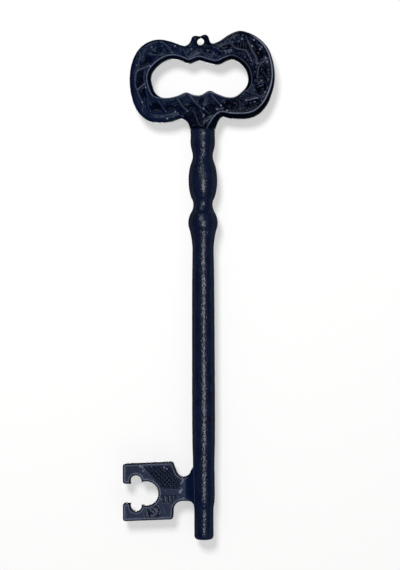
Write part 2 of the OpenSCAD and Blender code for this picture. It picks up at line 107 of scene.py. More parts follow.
OPENING = [
    (1.8, -36.6), (0.2, -37.3), (-1.3, -37.7), (-2.8, -37.6), (-5, -37.2), (-7.4, -36.1),
    (-10.3, -35.5), (-16.3, -37.7), (-23.5, -39.2), (-27.3, -38.8), (-30.2, -37.4), (-32.4, -35.0),
    (-33.9, -31.5), (-35.1, -26.6), (-34.6, -22.3), (-32.3, -18.7), (-29, -15.5), (-25.2, -13.2),
    (-21.5, -12.1), (-17.3, -12.1), (-12.3, -13.8), (-8.3, -15.3), (-1.3, -13.2), (4.7, -14.9),
    (9.9, -16.2), (13.7, -15.7), (17.4, -13.9), (21.7, -12.7), (25.3, -13.9), (28.5, -16.2),
    (30.8, -18.7), (32.3, -21.4), (33.1, -24.5), (33.4, -27.5), (32.7, -30.6), (31, -33.3),
    (28.5, -35.8), (25.5, -38.1), (22.6, -39.2), (19.2, -39.2), (15, -38), (10.2, -35.9),
    (8.1, -34.8), (6.2, -34.5), (4.5, -35), (3.0, -35.9),
]
LUG = [
    (-10.7, -2.7), (-8.8, -1.8), (-7.3, 0.2), (-6.5, 2), (-5.9, 3.4), (-4, 4.3), (-2, 4.1),
    (0, 3.9), (2, 4.8), (3.8, 4.9), (5.5, 3.5), (6.2, 1.2), (7.3, -1), (9.8, -1.5),
]
LUG_FOOT = [(9.8, -6.0), (-10.7, -6.0)]
HOLE_R = 2.5

# The bow's raised lines: half width, rise and the lines, in millimetres
RIDGES = [
    (1, 0.45, [[(-28, 0), (-24.9, -1.6), (-22.6, -3.9), (-20.4, -6.9)]]),
    (0.8, 0.35, [[(-27, -5.9), (-24.9, -6.7), (-23.7, -8.7)], [(10.5, -47.3), (12.7, -48.1),
    (14.6, -46.2)], [(28.6, -40.6), (32.1, -41.6), (35.6, -40.6), (39.6, -39.6)], [(26.1, -41.1),
    (27.3, -43.6), (27.8, -46.7)], [(8.7, -4.3), (12.7, -4.8), (16.7, -2.8), (19.3, -2)], [(-23.5, -4.8),
    (-21.3, -6.5), (-20.4, -8)]]),
    (0.9, 0.35, [[(-35.4, -9.2), (-31.6, -9.4), (-27, -9.6), (-22.4, -9), (-19.8, -7.2)]]),
    (0.9, 0.4, [[(-41.7, -9.6), (-42.6, -11.5), (-43.5, -14.6)], [(13.2, -6.5), (17.2, -6.8),
    (21.7, -6)]]),
    (0.9, 0.55, [[(-36, -16.4), (-38, -17.4), (-41.6, -18.7), (-44.3, -20.3), (-45.6, -23),
    (-45.9, -27.4), (-45.7, -31.5), (-44.4, -33.6)], [(8.3, -38.4), (10.1, -40.6), (12.2, -42.9),
    (14.4, -45.2)]]),
    (0.7, 0.45, [[(-39.1, -20.2), (-39.8, -24.3), (-39.3, -28.6)]]),
    (0.9, 0.5, [[(-38.9, -28.6), (-41.4, -31), (-44.2, -33.9), (-43.5, -37.1), (-42.1, -39.9),
    (-40.9, -42.4), (-40.2, -44.7), (-40.9, -47.8)], [(-5.3, -48.3), (-3.7, -51.6), (-2.4, -54.6),
    (-0.5, -58.7), (1.7, -59.8)], [(47.1, -12.5), (43.8, -15), (41, -18.3), (40.3, -22.1),
    (39.8, -25.8)], [(-11.8, -5.6), (-10.5, -8.4), (-8.7, -11), (-5.5, -10.2), (-3.1, -8.4),
    (-0.1, -7.6)]]),
    (0.7, 0.35, [[(-38.6, -32), (-37.8, -35.5), (-37.3, -39.1), (-37.1, -42.7), (-36.8, -45.8),
    (-35.3, -47.8)], [(37.8, -7.5), (39.8, -12.5), (40.8, -15.6)], [(-8.6, -5), (-6.4, -5.8),
    (-4.5, -4.6)], [(1.8, -3.9), (5.1, -6.1), (5.5, -7.6)]]),
    (0.9, 0.45, [[(-30, -40.9), (-27.9, -44), (-26.4, -46.5), (-24.5, -48.3)], [(1.7, -59.8),
    (2.6, -57.4), (4.9, -55.1), (9, -52.2)], [(31.6, -34.9), (35.6, -36.4), (39.2, -37.9),
    (41.9, -38.9)]]),
    (1, 0.25, [[(-41, -49.8), (-37.4, -51.9), (-33.9, -53.1), (-27.2, -53.5), (-20.1, -52.8),
    (-12.4, -51.5)]]),
    (1, 0.55, [[(-16.5, -39.4), (-14.9, -42.4), (-13.1, -45), (-10.8, -47.3)], [(19.5, 1.3), (22, -2.3),
    (24.8, -5), (28.8, -6.1), (32, -6.8), (33.9, -10), (35, -12.5)]]),
    (1, 0.6, [[(-16.4, -39.7), (-14.7, -42.5), (-12.9, -44.9), (-10.1, -47.7)]]),
    (1.1, 0.6, [[(-8, -37.5), (-5.8, -40.1), (-3.2, -43.1), (-0.3, -45.9)]]),
    (0.8, 0.45, [[(1.6, -46.2), (2.9, -48.1), (4.7, -49.6)], [(-0.5, -4.5), (1.4, -7.2), (3.2, -9.5),
    (6.6, -11), (9.2, -12.4)]]),
    (0.8, 0.4, [[(4.2, -39), (2.9, -41.8), (1.6, -44.4)], [(36.7, -30.6), (37.6, -33.1), (36.7, -35.1)],
    [(4.7, -8.4), (7.7, -9.5), (11.4, -9.1)]]),
    (1.3, 0.55, [[(33.6, -0.7), (35.5, -4.5), (36.8, -8), (39, -11.5), (39.2, -15.6)]]),
    (0.45, 0.55, [[(18, -47.9), (18.4, -49.7)], [(20.6, -47.9), (21, -49.8)], [(22.8, -48.1),
    (23.5, -50.2)], [(24.8, -48.1), (25.8, -50.3)], [(26.8, -47.9), (28, -50.2)], [(28.8, -46.7),
    (30.2, -48.9)], [(31.6, -47.4), (32.3, -49.3)], [(33.8, -46.9), (34.8, -48.8)], [(36.1, -45.9),
    (37.2, -47.9)], [(38.2, -44.4), (39.5, -46.3)]]),
    (0.4, 0.5, [[(26.4, -2.3), (26.2, -4.3)], [(28.2, -2), (28.1, -4.4)], [(30.2, -2), (30.2, -4.3)]]),
]
# Its cut lines: half width, depth and the lines
GROOVES = [
    (0.7, 0.35, [[(-15.9, -47), (-13.7, -49.8), (-11.8, -52.7)], [(16, -51.6), (21.6, -52.2),
    (27.6, -52.6)]]),
    (0.6, 0.3, [[(-26.2, -2.8), (-23.9, -5.4), (-21.6, -8.5)], [(32.6, -39.1), (28.6, -39.1),
    (26.6, -39.6)]]),
    (0.7, 0.45, [[(-15.8, -43.1), (-14.5, -46.2), (-13.3, -48.8), (-12, -52.2)], [(32.4, -1.8),
    (33.3, -6), (34, -9.5)], [(36.7, -28.3), (39.2, -27.5), (42, -27.2), (44.7, -27.9), (48.2, -28.3)]]),
    (0.8, 0.5, [[(-5.1, -39.7), (-2.5, -42.9), (-0.5, -44.7), (1.2, -45.9)], [(38.3, 0.5), (37.6, -2.5),
    (36.9, -6)]]),
    (0.6, 0.4, [[(10.1, -42.5), (12.2, -44.4), (13.8, -46.2)], [(-13.1, -6.1), (-11.6, -9.1),
    (-10, -11.7)]]),
    (0.6, 0.35, [[(25.3, -40.1), (26.6, -43.1), (28.6, -46.2)], [(21.8, -1), (24, -2), (24.8, -4)],
    [(-3.4, -2), (-1.2, -4.6), (1, -8), (3.2, -10.6)], [(8.5, -5.4), (11.1, -7.6), (12.3, -10.2)],
    [(20, 1.3), (21.9, -1.3), (24.4, -3.9)]]),
]
# Its sunk fields: depth and the outlines
POCKETS = [
    (0.55, [[(-34.4, -6.2), (-32.3, -4.8), (-29, -4.3), (-25.7, -4.9), (-24.9, -6.2), (-27.3, -7.4),
    (-30.3, -7.8), (-33.6, -7.4)], [(-3.6, -40.8), (1.6, -39.9), (1.2, -42.5), (0.8, -44.7),
    (-1.4, -42.9)], [(12.9, -4.6), (16.6, -3.3), (20, -2.8), (19.6, -4.5), (15.9, -5.9), (13.3, -5.9)]]),
    (0.6, [[(-41.1, -11.8), (-35.7, -10.8), (-34.2, -12.5), (-36.5, -16.1), (-40.3, -18.1),
    (-42.8, -17.4), (-42.3, -14.1)], [(-42.7, -34.1), (-39.5, -31.6), (-38.5, -34.5), (-38.1, -38.3),
    (-40.4, -39.4), (-42.1, -37.1)], [(-10.3, -44.5), (-7.2, -43.5), (-3.9, -44.1), (-3.8, -46.2),
    (-6.7, -47.3), (-9.8, -47.2)], [(-7.5, -3.9), (-4.2, -4.5), (-3.4, -6.1), (-5.7, -7.4),
    (-7.9, -6.5)], [(3.3, -5.4), (7.7, -5.6), (9.2, -7.6), (6.2, -8.5), (4, -7.6)]]),
    (0.85, [[(-44, -22.3), (-42.3, -20.8), (-40.3, -20.2), (-40.8, -24.8), (-40.4, -28.4),
    (-42.3, -30.2), (-44.2, -32), (-44.8, -27.4)], [(39.3, -31.7), (41.9, -30.5), (44.7, -30.2),
    (45.3, -32.6), (43.7, -36.2), (39.9, -35.7)], [(31.8, -43.4), (34.9, -42.1), (38.4, -41.6),
    (41.9, -42.6), (39.1, -44.9), (33.8, -46.3)]]),
    (0.8, [[(-35.6, -44), (-31.8, -43.1), (-28.4, -43.3), (-27.3, -46.2), (-28.5, -47.9),
    (-34.3, -47.8)], [(-25.2, -44.6), (-20, -44.3), (-15.9, -43.7), (-16.2, -46.2), (-20, -47.4),
    (-24, -47.7)], [(-2, -50.3), (0.1, -49.6), (2.1, -49.2), (3.2, -52.2), (1.7, -55.1), (-0.1, -56.1),
    (-1.7, -53.3)]]),
    (0.9, [[(3.6, -45.5), (5.3, -44.4), (7.6, -43.8), (10.1, -46), (8.3, -47.7), (6, -49), (4.4, -47.9)],
    [(37, -6.1), (40.1, -4.8), (42.8, -7.5), (43.4, -10.8), (41, -12.8), (38.3, -10)], [(42, -17.1),
    (45, -17.2), (45.9, -22.1), (45.3, -25.2), (42.3, -24.7), (41.2, -21.6)]]),
    (0.65, [[(15.9, -41.4), (20.2, -42.1), (24.3, -42.5), (25.6, -44.4), (24.6, -46.2), (20.2, -46.6),
    (16.8, -45.9), (15.3, -43.6)]]),
    (0.75, [[(13.5, -4.8), (17.5, -3.1), (20.8, -3.4), (20.1, -5), (16.7, -6.1), (13.7, -6.1)],
    [(24.2, -2.1), (28.3, -1.7), (32.2, -2), (31.8, -4.4), (28.3, -4.8), (24.9, -4.6)], [(16.5, -42.4),
    (20.6, -41.9), (24.6, -41.9), (26.5, -44.7), (24.6, -46.9), (18, -46.7)]]),
]
# Its small grains: radius, rise and their places
STUDS = [
    (0.55, 0.45, [(-17.9, -3.2), (-41, -42.4), (-38.6, -31.9), (-17.7, -49.4), (-23.5, -53.9),
    (-35.2, -16.9), (14.4, -45.2), (11.6, -47.7), (2.1, -47.2), (18.7, -48.8)]),
    (0.6, 0.45, [(37.6, 0.5), (36.3, -3.8), (42.8, -4.6), (41.8, -6.1), (45.7, -12), (46.8, -14.9),
    (42.8, -28.1), (32.1, -41.6), (29.3, 1.4), (45.2, -36.1)]),
    (0.5, 0.4, [(-6.4, -5.4), (5.3, -6.5), (17.4, -6.9), (21.8, -6.7)]),
]

# The bit's worked details, in the same way
BIT_PANEL = [
    (-41, -298.3), (-22.5, -297.7), (-20.8, -298.7), (-19.2, -302.6), (-16.5, -306), (-14.1, -309.2),
    (-15.1, -313.5), (-28.5, -313.6),
]
BIT_BAR = [(-28.6, -313.9), (-14.2, -313.6), (-14, -318.1), (-28.7, -318.3)]
BIT_RIBS = [
    (0.75, 0.55, [[(-26, -319.1), (-25.5, -322.6)], [(-22.7, -318.9), (-22.4, -322.4)]]),
    (0.6, 0.5, [[(-20.3, -318.9), (-19.7, -321.3)]]),
    (0.5, 0.4, [[(-28.4, -319.5), (-28.1, -321.7)]]),
]
BIT_RIB_FIELD = [
    (-29, -318.5), (-18.6, -318.3), (-18.3, -320.9), (-22.2, -323.4), (-26.6, -323.8), (-28.4, -321.9),
]
BIT_STUDS = [
    (0.6, 0.5, [(-41.8, -298.7), (-41.1, -301.1), (-43.4, -298), (-26.5, -298.7), (-24.6, -299.6),
    (-13.4, -307.3), (-13.7, -308.6), (-13.1, -320.3), (-14.8, -309.9), (-14.1, -314.3)]),
    (0.9, 0.6, [(-15.3, -315.6)]),
]
BIT_SWIRL = [
    (0.55, 0.35, [[(-38.6, -333.4), (-39.3, -329.5), (-37.8, -326.3), (-34.4, -325.1), (-31, -325.8),
    (-29.3, -328.5), (-29.8, -331.9)]]),
    (0.7, 0.45, [[(-37.3, -327.8), (-35.4, -327), (-32.9, -328.2), (-32, -330.4), (-33.5, -332.4),
    (-35.9, -332.9)]]),
    (0.6, 0.4, [[(-36.4, -329), (-34.4, -330), (-33.5, -331.9)]]),
]
BIT_SWIRL_FIELD = [
    (-39.6, -334), (-39.9, -329), (-38, -325.6), (-34.4, -324.4), (-30.4, -325.2), (-28.6, -328.6),
    (-29.2, -332.6), (-33, -334),
]

# Tables of one length against another, in millimetres. Rise tables give the half thickness inwards from
# an edge, and fall tables past a crest. For the rim and the bead, a rise runs to the crest, at 1
BOW_HALF = 4.5
RIM_WIDTH = [-59, -56, -53, -48, -40, -25, -10, 6], [5.2, 4.6, 4.0, 3.5, 2.7, 1.7, 1.35, 1.15]
RIM_RISE = [0, .06, .18, .4, .7, .88, 1], [2.2, 2.6, 2.95, 3.35, 3.85, 4.25, 4.45]
RIM_FALL = [0, .35, .7, 1.1, 1.7, 2.4], [4.45, 4.2, 3.6, 3.3, 3.45, 3.5]
SHOULDER_RISE = [0, .12, .35, .7, 1.2, 2, 3, 4.2, 5.5], [2.2, 2.7, 3.15, 3.5, 3.8, 4.02, 4.05, 3.9, 3.75]
BEAD_RISE = [0, .06, .2, .5, .8, 1], [2.0, 2.4, 2.85, 3.5, 4.15, 4.42]
BEAD_FALL = [0, .35, .8, 1.3], [4.42, 4.2, 3.75, 3.55]
LUG_RISE = [0, .12, .4, .9, 1.5, 2.2], [1.6, 2.1, 2.55, 2.95, 3.15, 3.2]
STEM_WIDTH = [53.5, 55, 56.5, 58.5, 60.5, 61.5], [15, 12, 10.7, 9.7, 9.0, 9.0]
STEM_REACH = [50, 55, 58, 59.2, 60.1, 60.9, 61.5, 62.4], [1.6, 2.6, 3.3, 4.0, 5.2, 6.8, 8.2, 8.7]
PLATE_RISE = [0, .12, .35, .7, 1.1, 1.5, 1.9, 2.3], [2.1, 2.5, 2.95, 3.3, 3.48, 3.42, 3.15, 3.05]
SADDLE_EDGE = [0, .3, .8, 1.4], [1.2, .6, .15, 0]

# The neck: radii with depths below the top, in millimetres for the collar and in shares for the beads
COLLAR_PROFILE = [
    (8.2, 0), (8.5, 0.4), (8.62, 1.1), (8.5, 3.2), (8.55, 6.5), (8.65, 9.0), (8.45, 11.6), (7.8, 14.4),
    (7.2, 16.9), (7.06, 18.4), (7.05, 19.2),
]
BARREL_PROFILE = [
    (7.05, 0), (7.1, .02), (7.35, .055), (8.2, .13), (9.05, .21), (9.6, .3), (9.98, .4), (10.08, .5),
    (10, .59), (9.65, .68), (9.05, .77), (8.25, .85), (7.3, .91), (6.85, .955), (6.75, .985), (6.75, 1),
]
BALL_PROFILE = [
    (6.75, 0), (6.77, .02), (6.95, .06), (7.6, .13), (8.95, .21), (9.9, .3), (10.35, .4), (10.1, .5),
    (9.25, .59), (8.65, .68), (8.1, .78), (7.74, .87), (7.54, .95), (7.5, 1),
]
TIP_RADIUS, TIP_ROUNDING = 6.75, 2.6

# The bit's radii, half thickness and pitch of hatching
ROOT_R, SADDLE_R, NOTCH_R, DIMPLE_R, CORNER_R = 7.6, 13.0, 8.5, 4.0, 1.8
HIGH_GAP_R, LOW_GAP_R, HEEL_R = 5.2, 6.8, 4.5
BIT_HALF, HATCH_PITCH = 3.5, 2.2

# Meshing: insets of the rows along an edge, the share of an inset that points keep from other edges, the
# gap to the grid and the cell for one point in steps, the wall's levels in half thicknesses, how many
# points are measured at a time, and how far a seed shifts a noise
EDGE_ROWS = [0.12, 0.3, 0.55, 0.85, 1.2]
ROW_SHARE, GRID_GAP, CELL = 0.92, 0.6, 0.3
WALL_LEVELS = [-0.5, 0, 0.5]
CHUNK = 4000
SEED_SHIFT = (7.3, 3.1, 5.7)

# Scales of the enamel's noises, one of them breaking the painted highlight into patches, and the distance
# from a pit's middle to its edge
GRAIN_SIZE, HIGHLIGHT_PATCH_SIZE, MOTTLE_SIZE, PIT_EDGE = 600, 1500, 130, 0.33


def curve(value, table):
    """The value that a table gives, by straight pieces."""
    return np.interp(value, *table)


def smooth_curve(points, steps, closed=True):
    """A smooth curve through points, with the bend spread by the distance between them."""
    p = np.asarray(points, float)
    if closed:
        a, b, c, d = (np.roll(p, k, axis=0) for k in (1, 0, -1, -2))
    else:
        ends = np.vstack([2 * p[0] - p[1], p, 2 * p[-1] - p[-2]])
        a, b, c, d = ends[:-3], ends[1:-2], ends[2:-1], ends[3:]

    def gap(u, v):
        return np.sqrt(np.linalg.norm(v - u, axis=1))[:, None]

    def between(u, v, low, high):
        return (u * (high - t) + v * (t - low)) / (high - low)

    t1 = gap(a, b)
    t2 = t1 + gap(b, c)
    t3 = t2 + gap(c, d)
    rows = []
    for s in range(steps):
        t = t1 + s / steps * (t2 - t1)
        ab, bc, cd = between(a, b, 0, t1), between(b, c, t1, t2), between(c, d, t2, t3)
        rows.append(between(between(ab, bc, 0, t2), between(bc, cd, t1, t3), t1, t2))
    line = np.stack(rows, axis=1).reshape(-1, p.shape[1])
    return line if closed else np.vstack([line, p[-1:]])


def spaced(line, step, closed=True):
    """The same line with points at even distances of about one step."""
    p = np.asarray(line, float)
    if closed:
        p = np.vstack([p, p[:1]])
    along = np.concatenate([[0], np.cumsum(np.linalg.norm(np.diff(p, axis=0), axis=1))])
    count = max(3, round(along[-1] / step))
    at = np.linspace(0, along[-1], count + 1)
    at = at[:-1] if closed else at
    return np.stack([np.interp(at, along, p[:, k]) for k in range(p.shape[1])], axis=1)


def distance_to(points, line, closed=True):
    """Distance of each point to a line of straight pieces."""
    a = np.asarray(line, float)
    a, b = (a, np.roll(a, -1, axis=0)) if closed else (a[:-1], a[1:])
    ab = b - a
    square = np.maximum((ab ** 2).sum(1), 1e-12)
    best = np.empty(len(points))
    for i in range(0, len(points), CHUNK):
        p = points[i:i + CHUNK, None, :] - a
        t = np.clip((p * ab).sum(2) / square, 0, 1)
        best[i:i + CHUNK] = np.sqrt(((p - t[..., None] * ab) ** 2).sum(2).min(1))
    return best


def inside(points, loop):
    """Whether each point lies inside a closed loop."""
    x, z = points[:, 0], points[:, 1]
    odd = np.zeros(len(points), bool)
    a = np.asarray(loop, float)
    for (ax, az), (bx, bz) in zip(a, np.roll(a, -1, axis=0)):
        if az != bz:
            odd ^= ((az > z) != (bz > z)) & (x < (bx - ax) * (z - az) / (bz - az) + ax)
    return odd


def depth_in(points, loop):
    """How deep each point lies inside a closed loop, and below 0 outside it."""
    return np.where(inside(points, loop), 1, -1) * distance_to(points, loop)


def turned_points(centre, radius, turn):
    return np.stack([centre[0] + radius * np.cos(turn), centre[1] + radius * np.sin(turn)], axis=1)


def circle(centre, radius, count=48):
    return turned_points(centre, radius, np.linspace(0, 2 * np.pi, count, endpoint=False))


def arc(centre, radius, start, end, count):
    return turned_points(centre, radius, np.radians(np.linspace(start, end, count)))


def unit(vector):
    return vector / np.linalg.norm(vector)


def ease(value, low, high):
    """0 below low, 1 above high, and a smooth step between them."""
    t = np.clip((value - low) / (high - low), 0, 1)
    return t * t * (3 - 2 * t)


def soft_max(a, b, width):
    """The larger of two heights, with the crease between them rounded."""
    t = np.clip(0.5 + 0.5 * (a - b) / width, 0, 1)
    return b + (a - b) * t + width * t * (1 - t)


class FlatShape:
    """A flat shape in the key's plane: solids joined together, less cutters, less plain trims."""

    def __init__(self, solids, cutters, trims):
        self.step = step = prop("shape").mesh_step / MM
        self.solids = [spaced(s, step) for s in solids]
        self.cutters = [spaced(c, step) for c in cutters]
        self.trims = [np.asarray(t, float) for t in trims]

    def room(self, points):
        """Distance of each point from the nearest edge that is rounded."""
        inner = np.max([depth_in(points, s) for s in self.solids], axis=0)
        return np.min([inner] + [-depth_in(points, c) for c in self.cutters], axis=0)

    def holds(self, points):
        found = np.any([inside(points, s) for s in self.solids], axis=0)
        for loop in self.cutters + self.trims:
            found &= ~inside(points, loop)
        return found

    def triangles(self):
        """Points and triangles that fill the shape, with rows of points along its edges."""
        rows = []
        for loop, sign in [(s, 1) for s in self.solids] + [(c, -1) for c in self.cutters]:
            way = np.roll(loop, -1, axis=0) - np.roll(loop, 1, axis=0)
            side = way[:, ::-1] * [-1, 1]
            side /= np.linalg.norm(side, axis=1)[:, None]
            x, z = loop.T
            area = np.sum(x * np.roll(z, -1) - np.roll(x, -1) * z)
            for inset in EDGE_ROWS:
                moved = loop + side * inset * sign * np.sign(area)
                rows.append(moved[self.room(moved) > ROW_SHARE * inset])
        edge = np.vstack(self.solids + self.cutters)
        low, high = edge.min(0), edge.max(0)
        across = np.arange(low[0], high[0], self.step)
        up = np.arange(low[1], high[1], self.step * math.sqrt(3) / 2)
        grid = np.stack(np.meshgrid(across, up), axis=2)
        grid[1::2, :, 0] += self.step / 2
        grid = grid.reshape(-1, 2)
        grid = grid[self.holds(grid)]
        rows.append(grid[self.room(grid) > EDGE_ROWS[-1] + self.step * GRID_GAP])
        free = np.vstack(rows)
        free = free[self.holds(free)]
        cell = np.round(free / (self.step * CELL)).astype(int)
        free = free[np.sort(np.unique(cell, axis=0, return_index=True)[1])]
        points, edges = [], []
        for loop in self.solids + self.cutters + self.trims:
            first = len(points)
            points += list(loop)
            edges += [(first + i, first + (i + 1) % len(loop)) for i in range(len(loop))]
        points += list(free)
        made = delaunay_2d_cdt([Vector(p) for p in points], edges, [], 0, 1e-6, False)
        flat = np.array(made[0])
        faces = np.array([f for f in made[2] if len(f) == 3])
        faces = faces[self.holds(flat[faces].mean(axis=1))]
        a, b, c = flat[faces].transpose(1, 2, 0)
        turn = (b[0] - a[0]) * (c[1] - a[1]) - (b[1] - a[1]) * (c[0] - a[0])
        faces[turn < 0] = faces[turn < 0][:, ::-1]
        faces = faces[np.abs(turn) > 1e-9]
        used, faces = np.unique(faces, return_inverse=True)
        return flat[used], faces.reshape(-1, 3)


def two_faced(flat, faces, height):
    """A closed mesh from a flat shape, alike on both faces, and the flat point each point is from."""
    count = len(flat)
    sides = np.vstack([faces[:, [0, 1]], faces[:, [1, 2]], faces[:, [2, 0]]])
    _, first, times = np.unique(np.sort(sides, axis=1), axis=0, return_index=True, return_counts=True)
    rim = sides[first[times == 1]]
    ring = np.unique(rim)
    source = np.concatenate([np.arange(count)] * 2 + [ring] * len(WALL_LEVELS))
    level = np.repeat([-1, 1, *WALL_LEVELS], [count] * 2 + [len(ring)] * len(WALL_LEVELS))
    points = np.stack([flat[source, 0], level * height[source], flat[source, 1]], axis=1)
    on_ring = 2 * count + np.searchsorted(ring, rim)
    rows = [rim, *[on_ring + k * len(ring) for k in range(len(WALL_LEVELS))], rim + count]
    wall = np.stack([np.hstack([a[:, ::-1], b]) for a, b in zip(rows, rows[1:])], axis=1)
    polygons = faces.tolist() + (faces[:, ::-1] + count).tolist() + wall.reshape(-1, 4).tolist()
    return points, polygons, source


def turned(profile, around, row):
    """A closed round mesh about the shank's axis, from radii with heights, from the top down."""
    line = spaced(profile, row, closed=False)
    turn = np.linspace(0, 2 * np.pi, around, endpoint=False)
    radius, z = line[:, :1], line[:, 1:]
    rings = np.stack([AXIS + radius * np.cos(turn), radius * np.sin(turn), z + 0 * turn], axis=2)
    points = np.vstack([rings.reshape(-1, 3), [[AXIS, 0, z[0, 0]], [AXIS, 0, z[-1, 0]]]])
    last, top = (len(line) - 1) * around, len(line) * around
    base, i = np.mgrid[0:last:around, 0:around]
    a, b = base + i, base + (i + 1) % around
    faces = np.stack([a, a + around, b + around, b], axis=2).reshape(-1, 4).tolist()
    for i in range(around):
        j = (i + 1) % around
        faces += [(top, i, j), (top + 1, last + j, last + i)]
    return points, faces


def cast_wave(points, size, seed):
    """Smooth unevenness of a casting at each point, between about -1 and 1."""
    shift = Vector([seed * s for s in SEED_SHIFT])
    return np.array([noise.noise(Vector(p) / size + shift) for p in points])


def outward(points, faces):
    """The mesh's normal at each point."""
    mesh = bpy.data.meshes.new("normals")
    mesh.from_pydata(points.tolist(), [], faces)
    normals = np.zeros(len(points) * 3)
    mesh.vertex_normals.foreach_get("vector", normals)
    bpy.data.meshes.remove(mesh)
    return normals.reshape(-1, 3)


def new_object(name, data):
    made = bpy.data.objects.new(name, data)
    bpy.context.scene.collection.objects.link(made)
    return made


def add_piece(name, points, faces, material, nodes, marks):
    """Links a finished mesh, in millimetres, as a piece that stands for CAD nodes."""
    mesh = bpy.data.meshes.new(name)
    mesh.from_pydata(np.clip(points * MM, *CAD_BOX).tolist(), [], faces)
    mesh.validate()
    for mark, values in marks.items():
        layer = mesh.attributes.new(mark, "FLOAT", "POINT")
        layer.data.foreach_set("value", np.asarray(values, np.float32))
    mesh.shade_smooth()
    piece = new_object(name, mesh)
    mesh.materials.append(material)
    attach(piece, BODY)
    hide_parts(*nodes)
    return piece


def set_inputs(tree, node, inputs):
    """Gives a node's inputs their values. A value that is a socket is linked."""
    for key, value in inputs.items():
        if isinstance(value, bpy.types.NodeSocket):
            tree.links.new(value, node.inputs[key])
        else:
            node.inputs[key].default_value = value


def add_node(tree, kind, inputs=None, **settings):
    node = tree.nodes.new(kind)
    for name, value in settings.items():
        setattr(node, name, value)
    set_inputs(tree, node, inputs or {})
    return node


def node_group(name, inputs, outputs):
    """A new shader node group with number sockets, with the sockets at its start and its end node."""
    group = bpy.data.node_groups.new(name, "ShaderNodeTree")
    for label, value in inputs.items():
        made = group.interface.new_socket(label, in_out="INPUT", socket_type="NodeSocketFloat")
        made.default_value = value
    for label in outputs:
        group.interface.new_socket(label, in_out="OUTPUT", socket_type="NodeSocketFloat")
    return group, group.nodes.new("NodeGroupInput").outputs, group.nodes.new("NodeGroupOutput")


def math_node(tree, operation, *inputs, clamp=False):
    inputs = dict(enumerate(inputs))
    return add_node(tree, "ShaderNodeMath", inputs, operation=operation, use_clamp=clamp).outputs[0]


def noise_node(tree, place, scale, detail):
    inputs = {"Vector": place, "Scale": scale, "Detail": detail}
    return add_node(tree, "ShaderNodeTexNoise", inputs).outputs["Fac"]


def cast_pits_group():
    """Small pits and grains of a sand casting under enamel, as a height."""
    found = bpy.data.node_groups.get("Cast pits")
    if found:
        return found
    group, start, end = node_group("Cast pits", {"Pit Size": 480.0}, ["Height"])
    place = add_node(group, "ShaderNodeTexCoord").outputs["Object"]
    grain = noise_node(group, place, GRAIN_SIZE, 1)
    inputs = {"Vector": place, "Scale": start["Pit Size"], "Smoothness": 0.6}
    pits = add_node(group, "ShaderNodeTexVoronoi", inputs, feature="SMOOTH_F1")
    bowl = math_node(group, "SUBTRACT", PIT_EDGE, pits.outputs["Distance"], clamp=True)
    set_inputs(group, end, {"Height": math_node(group, "MULTIPLY_ADD", bowl, -1.4, grain)})
    return group


def painted_light_group():
    """Where shade and highlight are painted into the enamel's colour, from the marks on the mesh, with
    the highlight broken into patches and broad random mottling.
    """
    found = bpy.data.node_groups.get("Painted light and mottle")
    if found:
        return found
    group, _, end = node_group("Painted light and mottle", {}, ["Painted shade", "Painted highlight", "Mottle"])
    place = add_node(group, "ShaderNodeTexCoord").outputs["Object"]
    hollow = add_node(group, "ShaderNodeAttribute", attribute_name="hollow").outputs["Fac"]
    painted_highlight = add_node(group, "ShaderNodeAttribute", attribute_name="painted_highlight").outputs["Fac"]
    patchy = math_node(group, "MULTIPLY_ADD", noise_node(group, place, HIGHLIGHT_PATCH_SIZE, 2), 1.6, -0.1)
    broad = noise_node(group, place, MOTTLE_SIZE, 4)
    set_inputs(group, end, {
        "Painted shade": hollow,
        "Painted highlight": math_node(group, "MULTIPLY", painted_highlight, patchy, clamp=True),
        "Mottle": math_node(group, "MULTIPLY_ADD", broad, 2.6, -0.8, clamp=True),
    })
    return group


def mix_colour(tree, factor, a, b):
    inputs = {"Factor": factor, "A": a, "B": b}
    return add_node(tree, "ShaderNodeMix", inputs, data_type="RGBA").outputs["Result"]


def enamel(name, roughness, pit_depth, pit_size, shine=1.0, coat_ior=None):
    """Blue-black semi-gloss enamel over a pitted casting. A clear coat, if any, thins to the sides."""
    settings = prop("enamel")
    material = bpy.data.materials.new(name)
    material.use_nodes = True
    tree = material.node_tree
    wear = add_node(tree, "ShaderNodeGroup", node_tree=painted_light_group()).outputs
    pits = add_node(tree, "ShaderNodeGroup", {"Pit Size": pit_size}, node_tree=cast_pits_group())
    tinted = mix_colour(tree, wear["Mottle"], settings.enamel_colour, settings.thin_colour)
    # Painted shade: the shade colour goes where the mesh's shade mask is high
    sunk = mix_colour(tree, wear["Painted shade"], tinted, settings.hollow_colour)
    facing = add_node(tree, "ShaderNodeLayerWeight", {"Blend": 0.5}).outputs["Facing"]
    # Mottling varies the roughness, the places of painted shade are smoother and the sides rougher
    uneven = math_node(tree, "MULTIPLY_ADD", wear["Mottle"], 0.08, roughness - 0.04)
    shade_smoothed = math_node(tree, "MULTIPLY_ADD", wear["Painted shade"], -0.5 * roughness, uneven)
    steep = math_node(tree, "POWER", facing, 3.0)
    bump = {"Strength": 1.0, "Distance": pit_depth, "Height": pits.outputs["Height"]}
    normal = add_node(tree, "ShaderNodeBump", bump).outputs["Normal"]
    inputs = {
        # Painted highlight: the highlight colour goes on the crests, in patches
        "Base Color": mix_colour(tree, wear["Painted highlight"], sunk, settings.highlight_colour),
        "Roughness": math_node(tree, "MULTIPLY_ADD", steep, 0.75, shade_smoothed),
        "Specular IOR Level": settings.gloss * shine,
        "Specular Tint": settings.sheen_colour,
        "Normal": normal,
    }
    if coat_ior:
        square = math_node(tree, "POWER", facing, 2.0)
        inputs["Coat Weight"] = math_node(tree, "MULTIPLY_ADD", square, -4.5, 1.0, clamp=True)
        inputs |= {"Coat Roughness": roughness, "Coat IOR": coat_ior, "Coat Normal": normal}
    set_inputs(tree, tree.nodes["Principled BSDF"], inputs)
    return material


def close_to(p, line, margin):
    return np.flatnonzero(np.all((p > line.min(0) - margin) & (p < line.max(0) + margin), axis=1))


